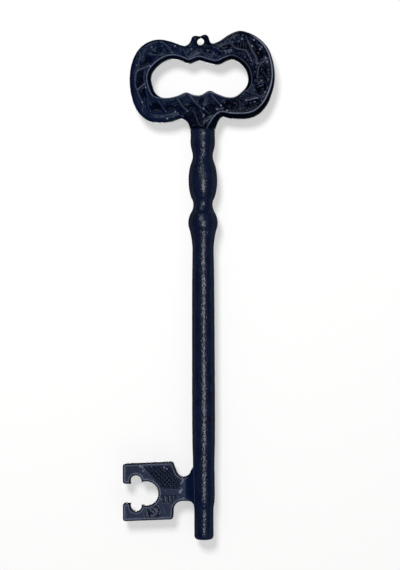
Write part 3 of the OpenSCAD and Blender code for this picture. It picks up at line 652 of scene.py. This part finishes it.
def strokes_at(p, strokes):
    """Height at each point of soft raised lines, the highest where they meet."""
    rise = np.zeros(len(p))
    for width, height, lines in strokes:
        for line in lines:
            line = smooth_curve(line, 4, closed=False)
            near = close_to(p, line, 3 * width)
            away = distance_to(p[near], line, closed=False)
            rise[near] = np.maximum(rise[near], height * np.exp(-(away / width) ** 2))
    return rise


def fields_at(p, fields, slope):
    """Depth at each point of sunk fields with sloping sides."""
    sunk = np.zeros(len(p))
    for depth, outlines in fields:
        for outline in outlines:
            outline = smooth_curve(outline, 4)
            near = close_to(p, outline, slope)
            dip = depth * ease(depth_in(p[near], outline), -slope / 2, slope / 2)
            sunk[near] = np.maximum(sunk[near], dip)
    return sunk


def studs_at(p, studs):
    """Height at each point of small round grains."""
    rise = np.zeros(len(p))
    for radius, height, places in studs:
        for place in places:
            away = np.hypot(p[:, 0] - place[0], p[:, 1] - place[1])
            rise = np.maximum(rise, height * np.sqrt(np.clip(1 - (away / radius) ** 2 / 1.6, 0, 1)))
    return rise


def colour(name, use, *rgb):
    return bpy.props.FloatVectorProperty(
        name=name, description="Colour of the " + use, subtype="COLOR", size=4, min=0, max=1,
        default=(*rgb, 1))


def number(name, description, default, top, low=0, **more):
    return bpy.props.FloatProperty(
        name=name, description=description, default=default, min=low, max=top, **more)


class KeyShapeSettings(bpy.types.PropertyGroup):
    mesh_step: number("Relief fineness", "Distance between the points of the cast relief",
                      0.45 * MM, 1.5 * MM, 0.2 * MM, unit="LENGTH", precision=5)
    waviness: number("Waviness", "How far the casting's surface wanders from a true one",
                     0.07 * MM, 0.3 * MM, unit="LENGTH", precision=5)
    around: bpy.props.IntProperty(
        name="Points around", description="Points round each turned piece", default=112, min=24, max=256)


class EnamelSettings(bpy.types.PropertyGroup):
    enamel_colour: colour("Enamel", "enamel where it lies thick", 0.0005, 0.0021, 0.0120)
    thin_colour: colour("Thin enamel", "enamel where it lies thin", 0.002, 0.0056, 0.0200)
    # Painted shade colour, for hollows, walls and outlines
    hollow_colour: colour("Colour of painted shade", "enamel in the hollows", 0.0001, 0.0004, 0.0022)
    # Painted highlight colour, for crests, ridges and grains
    highlight_colour: colour("Colour of painted highlight", "crests where the enamel is brightened", 0.2, 0.23, 0.31)
    sheen_colour: colour("Sheen", "enamel's reflections", 0.66, 0.8, 1.0)
    gloss: number("Gloss", "Specular level of the enamel", 0.062, 1)


class StudioSettings(bpy.types.PropertyGroup):
    ground: colour("Ground", "white ground under the key", 0.95, 0.95, 0.94)
    glow: number("Ground glow", "Extra whiteness of the ground", 0.5, 1)
    room: number("Room", "Strength of the plain room light", 0.16, 2)


def prop(kind):
    return getattr(bpy.context.scene, "iron_key_" + kind)


def flat_piece(name, flat_shape, height_at, waves, material, nodes):
    """A piece worked on both faces. A wave of its uneven casting has a length, a seed and a share."""
    flat, faces = flat_shape.triangles()
    height, hollow, painted_highlight = height_at(flat)
    points, polygons, source = two_faced(flat, faces, height)
    uneven = sum(cast_wave(points, length, seed) * share for length, seed, share in waves)
    points = points + outward(points, polygons) * (uneven * prop("shape").waviness / MM)[:, None]
    marks = {"hollow": hollow[source], "painted_highlight": painted_highlight[source]}
    add_piece(name, points, polygons, material, nodes, marks)


class IRONKEY_OT_bow(bpy.types.Operator):
    """Builds the bow with its relief and its hanging lug"""
    bl_idname = "iron_key.bow"
    bl_label = "Bow"

    def execute(self, context):
        ring, opening = smooth_curve(RING_OUTLINE, 8), smooth_curve(OPENING, 8)
        lug = np.vstack([smooth_curve(LUG, 6, closed=False), LUG_FOOT])
        below = [(-20, SEAM - 30), (20, SEAM - 30), (20, SEAM), (-20, SEAM)]
        cutters = [opening, circle((0, 0), HOLE_R)]
        flat_shape = FlatShape([ring, lug], cutters, [below])
        material = enamel("Bow enamel", roughness=0.22, pit_depth=0.00006, pit_size=500.0)
        flat_piece("bow_casting", flat_shape, lambda p: bow_height(p, ring, opening, lug),
                   [(5.5, 1, 1.6), (2.4, 4, 0.9)], material, ["bow"])
        return {"FINISHED"}


def bow_height(p, ring, opening, lug):
    """Half thickness of the bow at each point of its face, with the masks of painted shade and painted
    highlight.
    """
    x, z = p[:, 0], p[:, 1]
    outer, inner, on_lug = depth_in(p, ring), -depth_in(p, opening), depth_in(p, lug)
    hole = np.hypot(x, z) - HOLE_R
    # The right half has a crisp rim, and the left half a soft shoulder
    right = np.maximum(ease(x + 0.35 * (z + 25), -6, 14), ease(x, 1, 4) * ease(-z, 49, 52))
    rim = curve(z, RIM_WIDTH)
    past = outer - rim
    crisp = np.where(past > 0, curve(past, RIM_FALL), curve(outer / rim, RIM_RISE))
    soft = curve(outer, SHOULDER_RISE)
    edge = soft + (crisp - soft) * right
    # A bead runs round the opening, and is wider above
    bead = 0.75 + 1.95 * ease(z + 0.3 * np.maximum(-x - 18, 0), -37.5, -33)
    past_bead = inner - bead
    lip = np.where(past_bead > 0, curve(past_bead, BEAD_FALL), curve(inner / bead, BEAD_RISE))
    lip = np.minimum(lip, np.maximum(edge, np.where(outer > 2.2, BOW_HALF, 0)))
    body = np.where(past_bead < 1.3, lip, edge)
    body = np.where(outer > 0, np.minimum(body, BOW_HALF), 0)
    # The stem rounds out to the collar
    down = -z + 0.12 * np.abs(x - AXIS)
    across = (x - AXIS) / curve(-z, STEM_WIDTH)
    round_part = curve(down, STEM_REACH) * np.sqrt(np.clip(1 - across ** 2, 0.02, 1))
    body = np.where((z < -50) & (outer > 0), soft_max(body, round_part, 0.5), body)
    lug_part = np.where(on_lug > 0, curve(np.minimum(on_lug, hole), LUG_RISE), 0)
    height = soft_max(body, lug_part, 0.25)
    # Cast relief between the rims: the fields' edges stray, and the right half is rougher
    on_field = ease(outer - rim * right, 0.4, 1.2) * ease(past_bead, 0.3, 1.2)
    raised = strokes_at(p, RIDGES) * on_field * 0.85
    cut = strokes_at(p, GROOVES) * on_field
    level = np.stack([x, np.zeros(len(p)), z], axis=1)
    strayed = p + np.stack([cast_wave(level, 3.2, 11), cast_wave(level, 3.2, 12)], axis=1) * 1.3
    sunk = fields_at(strayed, POCKETS, 1.3) * on_field
    grains = studs_at(p, STUDS)
    coarse = cast_wave(level, 1.7, 21) * on_field * (0.3 + 0.7 * ease(x, 4, 24))
    height = height + coarse * 0.14 + raised - cut - sunk * (1 - ease(raised, 0.05, 0.4)) + grains
    height = np.minimum(height, np.maximum(BOW_HALF, round_part))
    # Painted shade: darker colour in the sunk fields and cuts, on the rims' walls, in the groove past the
    # right rim, along the left outline, in the coarse casting's low spots, and towards the bottom and the
    # right
    hollow = np.clip(ease(sunk, 0.15, 0.7) + ease(cut, 0.2, 0.5), 0, 1) * (1 - ease(raised, 0.1, 0.4))
    wall = right * ease(rim - outer, 0.3, 1.0) + ease(bead - inner, 0.3, 1.0)
    groove = np.exp(-((past - 1.05) / 0.45) ** 2) * right
    outline = ease(0.9 - outer, 0, 0.5) * (outer > 0) * (1 - right) * 0.8
    # Darker colour towards the bottom and the right side, added to the painted shade
    thick = np.maximum(0.6 * ease(-z, 38, 46) * ease(x, -24, -8), 0.4 * ease(x, 10, 26))
    thick = np.maximum(thick, 0.95 * ease(-z, 46, 52) * ease(x, -20, -8))
    hollow = np.clip(hollow + wall + groove + thick + outline, 0, 1)
    hollow = np.clip(hollow + ease(-coarse, 0.02, 0.3) * 0.5, 0, 1) * (0.8 + 0.2 * ease(x, 4, 20))
    # Painted highlight: pale colour along the crests of the rim and the bead, on the ridges, on the
    # coarse casting's high spots and on the grains
    foot = ease(-z, 42, 48)
    shine = np.maximum(ease(x, 33, 42), foot) * right * (1 - 0.3 * foot - 0.4 * ease(-z, 53, 60))
    line = np.exp(-(past / 0.4) ** 2) * shine
    line = line + np.exp(-(past_bead / 0.32) ** 2) * (0.5 - 0.3 * ease(x, 8, 24))
    ridge_highlight = ease(coarse, 0.25, 0.5) * 0.03 + ease(raised, 0.15, 0.5) * (0.16 - 0.05 * ease(-z, 40, 46))
    painted_highlight = np.clip(line + ridge_highlight + ease(grains, 0.1, 0.4) * 0.7, 0, 1)
    return height, hollow, painted_highlight


def turned_piece(name, line, node, row=0.75):
    """A round piece in the shank's enamel. Its uneven casting runs on through the joints."""
    shape = prop("shape")
    points, faces = turned(line, shape.around, row)
    away = points - [AXIS, 0, 0]
    away[:, 2] = 0
    away /= np.maximum(np.linalg.norm(away, axis=1), 1e-6)[:, None]
    lift = (cast_wave(points, 5.0, 2) + cast_wave(points, 1.6, 3) * 0.6) * shape.waviness / MM
    points = points + away * lift[:, None]
    marks = dict.fromkeys(("hollow", "painted_highlight"), np.zeros(len(points)))
    piece = add_piece(name, points, faces, shank_enamel(), [node], marks)
    ends = {len(points) - 2, len(points) - 1}
    rim = {v for f in piece.data.polygons if ends & set(f.vertices) for v in f.vertices} - ends
    sharp = piece.data.attributes.new("sharp_edge", "BOOLEAN", "EDGE")
    for edge in piece.data.edges:
        sharp.data[edge.index].value = set(edge.vertices) <= rim


def shank_enamel():
    return bpy.data.materials.get("Shank enamel") or enamel(
        "Shank enamel", roughness=0.28, pit_depth=0.00027, pit_size=480.0, shine=0.3, coat_ior=1.235)


class IRONKEY_OT_neck(bpy.types.Operator):
    """Builds the round collar under the bow's stem, the barrel bead and the ball bead"""
    bl_idname = "iron_key.neck"
    bl_label = "Neck"

    def execute(self, context):
        for name, node, profile, top, length in (
            ("neck_collar", "collar", COLLAR_PROFILE, SEAM, 1),
            ("neck_barrel_bead", "barrel_bead", BARREL_PROFILE, COLLAR_END, COLLAR_END - BARREL_END),
            ("neck_ball_bead", "ball_bead", BALL_PROFILE, BARREL_END, BARREL_END - SHOULDER),
        ):
            line = [(radius, top - share * length) for radius, share in profile]
            turned_piece(name, smooth_curve(line, 6, closed=False), node)
        return {"FINISHED"}


class IRONKEY_OT_shank(bpy.types.Operator):
    """Builds the long shank with its slimmer end"""
    bl_idname = "iron_key.shank"
    bl_label = "Shank"

    def execute(self, context):
        length, low = SHOULDER - TIP, BIT_LOW_EDGE
        profile = [
            (7.5, SHOULDER), (7.53, SHOULDER - 4), (7.8, SHOULDER - 0.12 * length),
            (8.0, SHOULDER - 0.36 * length), (8.0, SHOULDER - 0.65 * length), (7.6, low + 41),
            (7.6, low + 14.5), (6.9, low + 10), (TIP_RADIUS, low + 8),
        ]
        tip = arc((TIP_RADIUS - TIP_ROUNDING, TIP + TIP_ROUNDING), TIP_ROUNDING, 0, -90, 9)
        line = np.vstack([smooth_curve(profile, 8, closed=False), tip])
        turned_piece("shank_rod", line, "shank", row=0.8)
        return {"FINISHED"}


def bit_layout():
    """The bit's outline in the key's plane, and the middles of its notch and its dimples."""
    foot, reach, flag_width, flag_height, slope = 13.3, 57.0, 35.3, 40.5, 0.045
    low = TIP + foot
    high = low + flag_height
    left, right = -reach, flag_width - reach
    middle = (left + right) / 2
    notch, notch_half = (left + 16.6, low + 18.9), 6.7
    neck_middle, neck_half = low + 22.3, 8.5
    neck_high, neck_low = neck_middle + neck_half, neck_middle - neck_half
    high_gap = (-ROOT_R - 1.4 - HIGH_GAP_R, neck_high + HIGH_GAP_R)
    low_gap = (right + LOW_GAP_R + 0.3, neck_low - LOW_GAP_R)
    heel = (-ROOT_R - 3.3, neck_low - HEEL_R)

    def on_edge(x, z):
        return x, z + slope * (x - middle)

    way = np.subtract(on_edge(right, high), high_gap)
    touch = math.degrees(math.atan2(way[1], way[0]) + math.acos(HIGH_GAP_R / np.linalg.norm(way)))
    line = [on_edge(left, high), on_edge(right, high), *arc(high_gap, HIGH_GAP_R, touch, 346, 18)]
    line += [line[-1] + (3.2, 5.6), (-ROOT_R * 0.7, neck_low - HEEL_R)]
    line += [*arc(heel, HEEL_R, 0, 90, 9), *arc(low_gap, LOW_GAP_R, 90, 180, 11)]
    line += [on_edge(right, low), on_edge(left, low)]
    ends = (left, -1), (notch[0], -1), (notch[0], 1), (left, 1)
    line += [(x, notch[1] + side * notch_half) for x, side in ends]
    sharp = {0, 1, len(line) - 6, len(line) - 5, len(line) - 4, len(line) - 1}
    line, outline = np.array(line), []
    for i, p in enumerate(line):
        if i in sharp:
            a, b = unit(line[i - 1] - p), unit(line[(i + 1) % len(line)] - p)
            half = math.acos(float(a @ b)) / 2
            centre = p + unit(a + b) * CORNER_R / math.sin(half)
            start, end = (p + way * CORNER_R / math.tan(half) - centre for way in (a, b))
            for t in np.linspace(0, 1, 6):
                outline.append(centre + unit(start + (end - start) * t) * CORNER_R)
        else:
            outline.append(p)
    dimples = [(left + 9.3 + AXIS, notch[1] + side * 8.6) for side in (-1, 1)]
    return np.array(outline) + [AXIS, 0], (notch[0] + AXIS, notch[1]), dimples


def bit_height(p, outline, notch, dimples):
    """Half thickness of the bit at each point of its face, with the masks of painted shade and painted
    highlight.
    """
    x, z = p[:, 0], p[:, 1]
    away = [-depth_in(p, circle(notch, NOTCH_R))] + [-depth_in(p, circle(d, DIMPLE_R)) for d in dimples]
    room = np.min([depth_in(p, outline)] + away, axis=0)
    plate = curve(room, PLATE_RISE)
    # The root runs round the shank and blends into the plate
    over = np.abs(x - AXIS)
    across = BIT_HALF + SADDLE_R - 0.06
    along = math.sqrt((ROOT_R + SADDLE_R) ** 2 - across ** 2)
    touch = along * ROOT_R / (ROOT_R + SADDLE_R)
    bend = across - np.sqrt(np.clip(SADDLE_R ** 2 - (over - along) ** 2, 0, None))
    rod = np.sqrt(np.clip(ROOT_R ** 2 - over ** 2, 0, None)) - 0.05
    saddle = np.where(over < touch, rod, np.where(over < along, bend, 0)) - curve(room, SADDLE_EDGE)
    # The cross-hatched panel, the bar, the ribs and the swirl
    on_plate = ease(room, 1.5, 2.1)
    panel = ease(depth_in(p, BIT_PANEL), -0.3, 0.3) * ease(room, 0.9, 1.4)
    grooves = np.zeros(len(p))
    for way in (1, -1):
        along_way = (x * way + z) / math.sqrt(2) / HATCH_PITCH
        off = np.abs(along_way - np.round(along_way)) * HATCH_PITCH
        grooves = np.maximum(grooves, np.exp(-(off / 0.36) ** 2))
    bar = 0.4 * ease(depth_in(p, BIT_BAR), -0.25, 0.35) * ease(room, 0.6, 1.2)
    rib_field = 0.5 * ease(depth_in(p, BIT_RIB_FIELD), -0.4, 0.4) * on_plate
    ribs = strokes_at(p, BIT_RIBS)
    swirl_field = 0.4 * ease(depth_in(p, smooth_curve(BIT_SWIRL_FIELD, 4)), -0.4, 0.4) * on_plate
    swirl = strokes_at(p, BIT_SWIRL) * on_plate
    grains = studs_at(p, BIT_STUDS)
    cut = panel * (0.1 + 0.55 * grooves)
    plate = plate - cut + panel * 0.2 + bar - rib_field + ribs - swirl_field + swirl + grains
    height = soft_max(np.minimum(plate, 3.75), saddle, 1.0)
    # Masks of painted light, on the flag alone: painted shade in the hatching, the sunk fields and along
    # the edge, and painted highlight on the border line, the flat plate, the grains, the ribs and the
    # swirl
    on_flag = saddle < plate
    hollow = np.clip(panel * grooves + 0.8 * ease(rib_field, 0.1, 0.5) * (1 - ease(ribs, 0.1, 0.4))
                     + 0.7 * ease(swirl_field, 0.1, 0.4) * (1 - ease(swirl, 0.1, 0.3))
                     + ease(1.15 - room, 0, 0.5) * on_flag, 0, 1)
    # border: a painted highlight line along the border
    border = np.exp(-((room - 1.4) / 0.38) ** 2) * on_flag
    # plain: a painted sheen on the flat plate
    plain = on_plate * (1 - panel) * (1 - hollow) * on_flag * 0.095
    painted_highlight = np.clip(border * 0.5 + plain + ease(grains, 0.1, 0.4) * 0.6 + panel * (1 - grooves) * 0.04
                    + ease(ribs, 0.2, 0.5) * 0.15 + ease(swirl, 0.2, 0.4) * 0.2, 0, 1)
    return height, hollow, painted_highlight


class IRONKEY_OT_bit(bpy.types.Operator):
    """Builds the flag bit with its ward notch, its border and its cross-hatched panel"""
    bl_idname = "iron_key.bit"
    bl_label = "Bit"

    def execute(self, context):
        outline, notch, dimples = bit_layout()
        cutters = [circle(notch, NOTCH_R, 120)] + [circle(d, DIMPLE_R, 60) for d in dimples]
        flat_shape = FlatShape([outline], cutters, [])
        material = enamel("Bit enamel", roughness=0.24, pit_depth=0.00007, pit_size=500.0)
        flat_piece("bit_flag", flat_shape, lambda p: bit_height(p, outline, notch, dimples),
                   [(2.6, 7, 1)], material, ["bit"])
        return {"FINISHED"}


class IRONKEY_OT_fasteners(bpy.types.Operator):
    """Gives the hidden pins and rivets the enamel of the shank"""
    bl_idname = "iron_key.fasteners"
    bl_label = "Pins and rivets"

    def execute(self, context):
        for node in ("bow_pin", "shank_pin", "bit_rivets"):
            mesh = frame["nodes"][node].data
            mesh.materials.clear()
            mesh.materials.append(shank_enamel())
        return {"FINISHED"}


# The studio, in metres and degrees: the ground's half width and its gap behind the key, and the camera
GROUND_HALF, GROUND_GAP = 3.0, 0.0004
CAMERA_TARGET = Vector((-0.00104, 0.0, -0.1707))
CAMERA_AWAY, CAMERA_AZIMUTH, CAMERA_ROLL, CAMERA_LENS = 1.25, 4.2, -0.18, 112.4
# The lamps: place, size, power in watts, and whether the lamp lights the key alone and not the ground
LAMPS = (
    ("Strip lamp", (0.17, -1.0, -0.25), (0.1, 0.5), 11, True),
    ("Key lamp", (-0.3, -1.5, 0.65), (0.5, 0.5), 13, False),
    ("Fill lamp", (0.5, -0.8, -1.2), (0.7, 0.5), 0.6, False),
    ("Rear key lamp", (0.3, 1.5, 0.8), (0.6, 0.6), 22, False),
    ("Rear strip lamp", (-0.17, 1.0, -0.25), (0.1, 0.5), 12, True),
)


def aim(thing, place, target):
    """Puts a lamp or the camera at a place, turned towards a target."""
    thing.location = place
    thing.rotation_euler = (Vector(target) - Vector(place)).to_track_quat("-Z", "Y").to_euler()


def ground_material(settings):
    """White ground that keeps the key's shadow and is clear from behind."""
    material = bpy.data.materials.new("White ground")
    material.use_nodes = True
    tree = material.node_tree
    tree.nodes.clear()
    paper = add_node(tree, "ShaderNodeBsdfDiffuse", {"Color": settings.ground}).outputs[0]
    glow = add_node(tree, "ShaderNodeEmission", {"Strength": settings.glow}).outputs[0]
    lit = add_node(tree, "ShaderNodeAddShader", {0: paper, 1: glow}).outputs[0]
    path = add_node(tree, "ShaderNodeLightPath").outputs
    seen = math_node(tree, "ADD", path["Is Camera Ray"], path["Is Glossy Ray"])
    seen = math_node(tree, "ADD", seen, path["Is Transmission Ray"], clamp=True)
    behind = add_node(tree, "ShaderNodeNewGeometry").outputs["Backfacing"]
    shown = math_node(tree, "MULTIPLY", seen, math_node(tree, "SUBTRACT", 1.0, behind))
    clear = add_node(tree, "ShaderNodeBsdfTransparent").outputs[0]
    mixed = add_node(tree, "ShaderNodeMixShader", {0: shown, 1: clear, 2: lit}).outputs[0]
    add_node(tree, "ShaderNodeOutputMaterial", {"Surface": mixed})
    return material


class IRONKEY_OT_studio(bpy.types.Operator):
    """Builds the white ground, the soft lamps, the room light and the camera"""
    bl_idname = "iron_key.studio"
    bl_label = "Studio"

    def execute(self, context):
        settings = prop("studio")
        low, high = CAD_BOX
        half, y = GROUND_HALF, high.y + GROUND_GAP
        mesh = bpy.data.meshes.new("ground")
        corners = [(-half, y, -half), (half, y, -half), (half, y, half), (-half, y, half)]
        mesh.from_pydata(corners, [], [(0, 1, 2, 3)])
        ground = new_object("ground", mesh)
        mesh.materials.append(ground_material(settings))
        world = bpy.data.worlds.new("Plain room")
        context.scene.world = world
        world.use_nodes = True
        room = {"Color": (1, 1, 1, 1), "Strength": settings.room}
        set_inputs(world.node_tree, world.node_tree.nodes["Background"], room)
        lit = bpy.data.collections.new("Key pieces")
        for piece in bpy.data.objects:
            if piece.type == "MESH" and piece != ground:
                lit.objects.link(piece)
        for name, place, size, power, alone in LAMPS:
            data = bpy.data.lights.new(name, "AREA")
            data.shape, data.energy = "RECTANGLE", power
            data.size, data.size_y = size
            lamp = new_object(name, data)
            aim(lamp, place, (low + high) / 2)
            if alone:
                lamp.light_linking.receiver_collection = lit
        data = bpy.data.cameras.new("Camera")
        data.lens = CAMERA_LENS
        data.clip_start, data.clip_end = 0.01, 20
        camera = new_object("Camera", data)
        context.scene.camera = camera
        turn = math.radians(CAMERA_AZIMUTH)
        way = Vector((math.sin(turn), -math.cos(turn), 0))
        aim(camera, CAMERA_TARGET + way * CAMERA_AWAY, CAMERA_TARGET)
        camera.rotation_euler.rotate_axis("Z", math.radians(CAMERA_ROLL))
        context.scene.view_settings.view_transform = "Standard"
        return {"FINISHED"}


OPERATORS = (
    IRONKEY_OT_bow, IRONKEY_OT_neck, IRONKEY_OT_shank, IRONKEY_OT_bit, IRONKEY_OT_fasteners,
    IRONKEY_OT_studio,
)
SETTINGS = (("shape", KeyShapeSettings), ("enamel", EnamelSettings), ("studio", StudioSettings))


class IRONKEY_PT_parts(bpy.types.Panel):
    """Lists the key's sizes, colours and pieces"""
    bl_idname = "IRONKEY_PT_parts"
    bl_label = "Iron Key"
    bl_space_type = "VIEW_3D"
    bl_region_type = "UI"
    bl_category = "Iron Key"

    def draw(self, context):
        for kind, settings in SETTINGS:
            box = self.layout.box()
            for name in settings.__annotations__:
                box.prop(prop(kind), name)
        for operator in OPERATORS:
            self.layout.operator(operator.bl_idname)


def register():
    for kind, settings in SETTINGS:
        bpy.utils.register_class(settings)
        setattr(bpy.types.Scene, "iron_key_" + kind, bpy.props.PointerProperty(type=settings))
    for operator in OPERATORS:
        bpy.utils.register_class(operator)
    bpy.utils.register_class(IRONKEY_PT_parts)


def unregister():
    bpy.utils.unregister_class(IRONKEY_PT_parts)
    for operator in reversed(OPERATORS):
        bpy.utils.unregister_class(operator)
    for kind, settings in reversed(SETTINGS):
        delattr(bpy.types.Scene, "iron_key_" + kind)
        bpy.utils.unregister_class(settings)


def main():
    register()
    bpy.ops.iron_key.bow()
    bpy.ops.iron_key.neck()
    bpy.ops.iron_key.shank()
    bpy.ops.iron_key.bit()
    bpy.ops.iron_key.fasteners()
    bpy.ops.iron_key.studio()
    bpy.context.view_layer.update()


if __name__ == "__main__":
    main()
